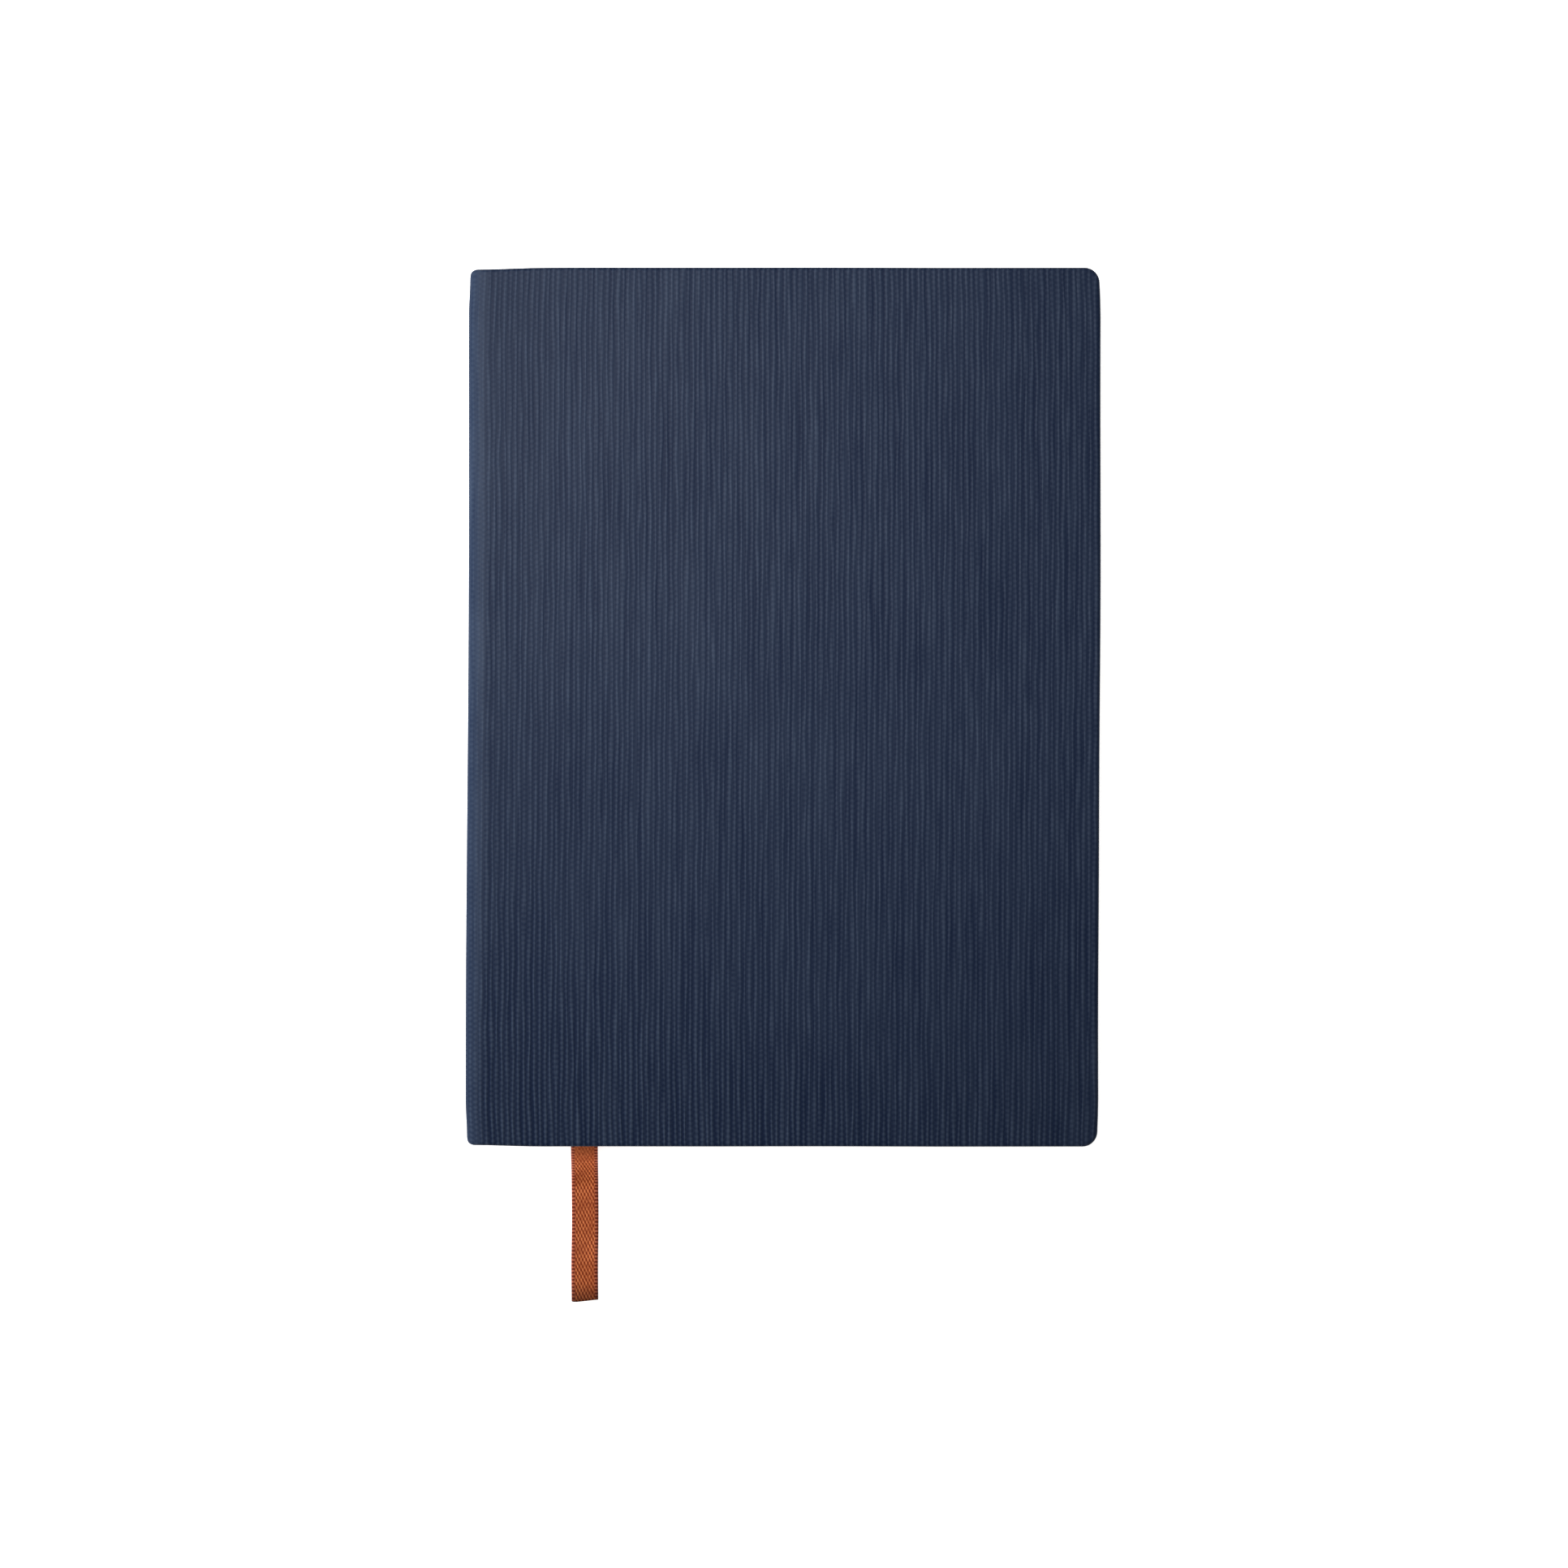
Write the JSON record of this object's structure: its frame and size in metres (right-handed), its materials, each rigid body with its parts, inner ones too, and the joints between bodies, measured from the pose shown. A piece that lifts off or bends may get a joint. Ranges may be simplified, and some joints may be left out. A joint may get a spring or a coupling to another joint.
{
  "type": "pilot logbook",
  "caption": "Cloth-covered sewn logbook with a flexible flat spine and a ribbon marker; it opens flat at its middle, with covers and sections on linked hinges.",
  "frame": {"origin": "under the middle of the closed book, on the surface that its back cover lies on", "axes": "+X from the spine to the fore edge, +Y to the head (the ribbon leaves at the tail, -Y), +Z out of the front cover"},
  "size_m": [0.146, 0.2401, 0.015],
  "materials": {
    "cover_cloth": "navy plain-weave book cloth, matt, with slubs along its height",
    "ribbon": "rust-brown woven marker ribbon, soft sheen",
    "endpaper": "plain cream endpaper, matt",
    "page": "off-white ledger paper with ruled columns, matt",
    "board": "thin grey board",
    "lining": "brown kraft spine lining",
    "mull": "open gauze, glued",
    "thread": "waxed linen sewing thread",
    "band": "ribbed head and tail band"
  },
  "bodies": {
    "back_cover": {"back_cloth": "cover_cloth", "back_board": "board", "back_pastedown": "endpaper", "spine_cloth": "cover_cloth", "spine_lining": "lining", "spine_mull": "mull", "head_band": "band", "tail_band": "band", "sewing_thread_1": "thread", "sewing_thread_2": "thread", "sewing_thread_3": "thread", "sewing_thread_4": "thread", "sewing_thread_5": "thread"},
    "signature_8": {"signature_8": "page", "back_flyleaf": "endpaper"},
    "signature_7": {"signature_7": "page"},
    "signature_6": {"signature_6": "page"},
    "signature_5": {"signature_5": "page", "ribbon_inner": "ribbon"},
    "signature_4": {"signature_4": "page"},
    "signature_3": {"signature_3": "page"},
    "signature_2": {"signature_2": "page"},
    "signature_1": {"signature_1": "page", "front_flyleaf": "endpaper"},
    "front_cover": {"front_cloth": "cover_cloth", "front_board": "board", "front_pastedown": "endpaper"},
    "ribbon_tail": {"ribbon_tail": "ribbon"}
  },
  "joints": [
    {"name": "back_cover_hinge", "type": "hinge", "parent": "back_cover", "child": "signature_8", "pos_m": [-0.073, 0, 0.00235], "axis": [0, -1, 0], "range_deg": [0, 4]},
    {"name": "fold_8_7", "type": "hinge", "parent": "signature_8", "child": "signature_7", "pos_m": [-0.073, 0, 0.00375], "axis": [0, -1, 0], "range_deg": [0, 2]},
    {"name": "fold_7_6", "type": "hinge", "parent": "signature_7", "child": "signature_6", "pos_m": [-0.073, 0, 0.00492], "axis": [0, -1, 0], "range_deg": [0, 2]},
    {"name": "fold_6_5", "type": "hinge", "parent": "signature_6", "child": "signature_5", "pos_m": [-0.073, 0, 0.00608], "axis": [0, -1, 0], "range_deg": [0, 2]},
    {"name": "middle_opening", "type": "hinge", "parent": "signature_5", "child": "signature_4", "pos_m": [-0.073, 0, 0.0075], "axis": [0, -1, 0], "range_deg": [0, 160], "deforming": ["spine_cloth", "spine_lining", "spine_mull", "head_band", "tail_band", "sewing_thread_1", "sewing_thread_2", "sewing_thread_3", "sewing_thread_4", "sewing_thread_5"]},
    {"name": "fold_4_3", "type": "hinge", "parent": "signature_4", "child": "signature_3", "pos_m": [-0.073, 0, 0.00892], "axis": [0, -1, 0], "range_deg": [0, 2]},
    {"name": "fold_3_2", "type": "hinge", "parent": "signature_3", "child": "signature_2", "pos_m": [-0.073, 0, 0.01009], "axis": [0, -1, 0], "range_deg": [0, 2]},
    {"name": "fold_2_1", "type": "hinge", "parent": "signature_2", "child": "signature_1", "pos_m": [-0.073, 0, 0.01125], "axis": [0, -1, 0], "range_deg": [0, 2]},
    {"name": "front_cover_hinge", "type": "hinge", "parent": "signature_1", "child": "front_cover", "pos_m": [-0.073, 0, 0.01265], "axis": [0, -1, 0], "range_deg": [0, 4]},
    {"name": "ribbon_lift", "type": "hinge", "parent": "signature_5", "child": "ribbon_tail", "pos_m": [-0.0466, -0.0991, 0.0075], "axis": [-1, 0, 0], "range_deg": [0, 60]}
  ],
  "couplings": [
    {"joint": "back_cover_hinge", "follows": "middle_opening", "ratio": 0.025},
    {"joint": "fold_8_7", "follows": "middle_opening", "ratio": 0.0125},
    {"joint": "fold_7_6", "follows": "middle_opening", "ratio": 0.0125},
    {"joint": "fold_6_5", "follows": "middle_opening", "ratio": 0.0125},
    {"joint": "fold_4_3", "follows": "middle_opening", "ratio": 0.0125},
    {"joint": "fold_3_2", "follows": "middle_opening", "ratio": 0.0125},
    {"joint": "fold_2_1", "follows": "middle_opening", "ratio": 0.0125},
    {"joint": "front_cover_hinge", "follows": "middle_opening", "ratio": 0.025}
  ]
}
